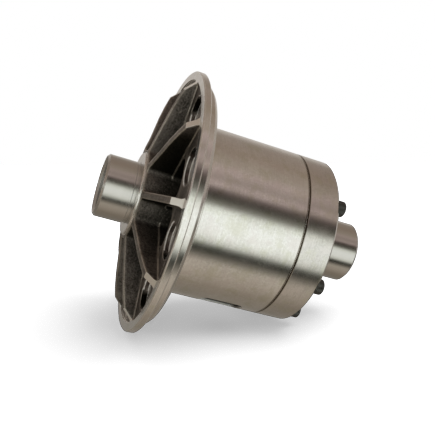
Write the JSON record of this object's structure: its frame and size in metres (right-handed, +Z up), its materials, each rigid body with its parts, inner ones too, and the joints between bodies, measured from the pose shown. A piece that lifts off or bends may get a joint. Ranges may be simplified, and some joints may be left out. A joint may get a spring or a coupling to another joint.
{
  "type": "differential gear assembly",
  "caption": "Helical limited-slip differential: ribbed ring-gear flange, round case and bolted end cover, with side gears and paired pinions turning inside.",
  "frame": {"origin": "on the rotation axis, at the ring-gear seat face of the flange", "axes": "+X along the rotation axis from the flange journal to the cover journal; +Z up, -Y the side seen first"},
  "size_m": [0.1815, 0.176, 0.176],
  "materials": {
    "case_steel": "turned barrel and journals, as-cast pockets between the ribs",
    "cover_steel": "fine turned",
    "black_steel": "black oxide",
    "pin_steel": "ground",
    "gear_steel": "ground teeth, oiled",
    "washer_steel": "satin",
    "block_steel": "turned",
    "spring_steel": "blued spring steel"
  },
  "bodies": {
    "case": {"case_housing": "case_steel", "end_cover": "cover_steel", "cover_screws": "black_steel", "cover_dowels": "pin_steel", "left_thrust_washer": "washer_steel", "right_thrust_washer": "washer_steel", "left_centre_washer": "washer_steel", "right_centre_washer": "washer_steel", "left_centre_block": "block_steel", "right_centre_block": "block_steel", "preload_spring": "spring_steel"},
    "left_gear": {"left_side_gear": "gear_steel"},
    "right_gear": {"right_side_gear": "gear_steel"},
    "left_pinion_body_1": {"left_pinion_1": "gear_steel"},
    "left_pinion_body_2": {"left_pinion_2": "gear_steel"},
    "left_pinion_body_3": {"left_pinion_3": "gear_steel"},
    "left_pinion_body_4": {"left_pinion_4": "gear_steel"},
    "right_pinion_body_1": {"right_pinion_1": "gear_steel"},
    "right_pinion_body_2": {"right_pinion_2": "gear_steel"},
    "right_pinion_body_3": {"right_pinion_3": "gear_steel"},
    "right_pinion_body_4": {"right_pinion_4": "gear_steel"}
  },
  "joints": [
    {"name": "left_gear_spin", "type": "hinge", "parent": "case", "child": "left_gear", "pos_m": [0.02425, 0, 0], "axis": [1, 0, 0], "continuous": true},
    {"name": "right_gear_spin", "type": "hinge", "parent": "case", "child": "right_gear", "pos_m": [0.06055, 0, 0], "axis": [1, 0, 0], "continuous": true},
    {"name": "left_pinion_1_spin", "type": "hinge", "parent": "case", "child": "left_pinion_body_1", "pos_m": [0.0425, -0.00437, -0.03573], "axis": [1, 0, 0], "continuous": true},
    {"name": "left_pinion_2_spin", "type": "hinge", "parent": "case", "child": "left_pinion_body_2", "pos_m": [0.0425, -0.03573, 0.00437], "axis": [1, 0, 0], "continuous": true},
    {"name": "left_pinion_3_spin", "type": "hinge", "parent": "case", "child": "left_pinion_body_3", "pos_m": [0.0425, 0.00437, 0.03573], "axis": [1, 0, 0], "continuous": true},
    {"name": "left_pinion_4_spin", "type": "hinge", "parent": "case", "child": "left_pinion_body_4", "pos_m": [0.0425, 0.03573, -0.00437], "axis": [1, 0, 0], "continuous": true},
    {"name": "right_pinion_1_spin", "type": "hinge", "parent": "case", "child": "right_pinion_body_1", "pos_m": [0.0425, -0.01855, -0.03085], "axis": [1, 0, 0], "continuous": true},
    {"name": "right_pinion_2_spin", "type": "hinge", "parent": "case", "child": "right_pinion_body_2", "pos_m": [0.0425, -0.03085, 0.01855], "axis": [1, 0, 0], "continuous": true},
    {"name": "right_pinion_3_spin", "type": "hinge", "parent": "case", "child": "right_pinion_body_3", "pos_m": [0.0425, 0.01855, 0.03085], "axis": [1, 0, 0], "continuous": true},
    {"name": "right_pinion_4_spin", "type": "hinge", "parent": "case", "child": "right_pinion_body_4", "pos_m": [0.0425, 0.03085, -0.01855], "axis": [1, 0, 0], "continuous": true}
  ],
  "couplings": [
    {"joint": "right_gear_spin", "follows": "left_gear_spin", "ratio": -1},
    {"joint": "left_pinion_1_spin", "follows": "left_gear_spin", "ratio": -3.8},
    {"joint": "left_pinion_2_spin", "follows": "left_gear_spin", "ratio": -3.8},
    {"joint": "left_pinion_3_spin", "follows": "left_gear_spin", "ratio": -3.8},
    {"joint": "left_pinion_4_spin", "follows": "left_gear_spin", "ratio": -3.8},
    {"joint": "right_pinion_1_spin", "follows": "left_gear_spin", "ratio": 3.8},
    {"joint": "right_pinion_2_spin", "follows": "left_gear_spin", "ratio": 3.8},
    {"joint": "right_pinion_3_spin", "follows": "left_gear_spin", "ratio": 3.8},
    {"joint": "right_pinion_4_spin", "follows": "left_gear_spin", "ratio": 3.8}
  ]
}
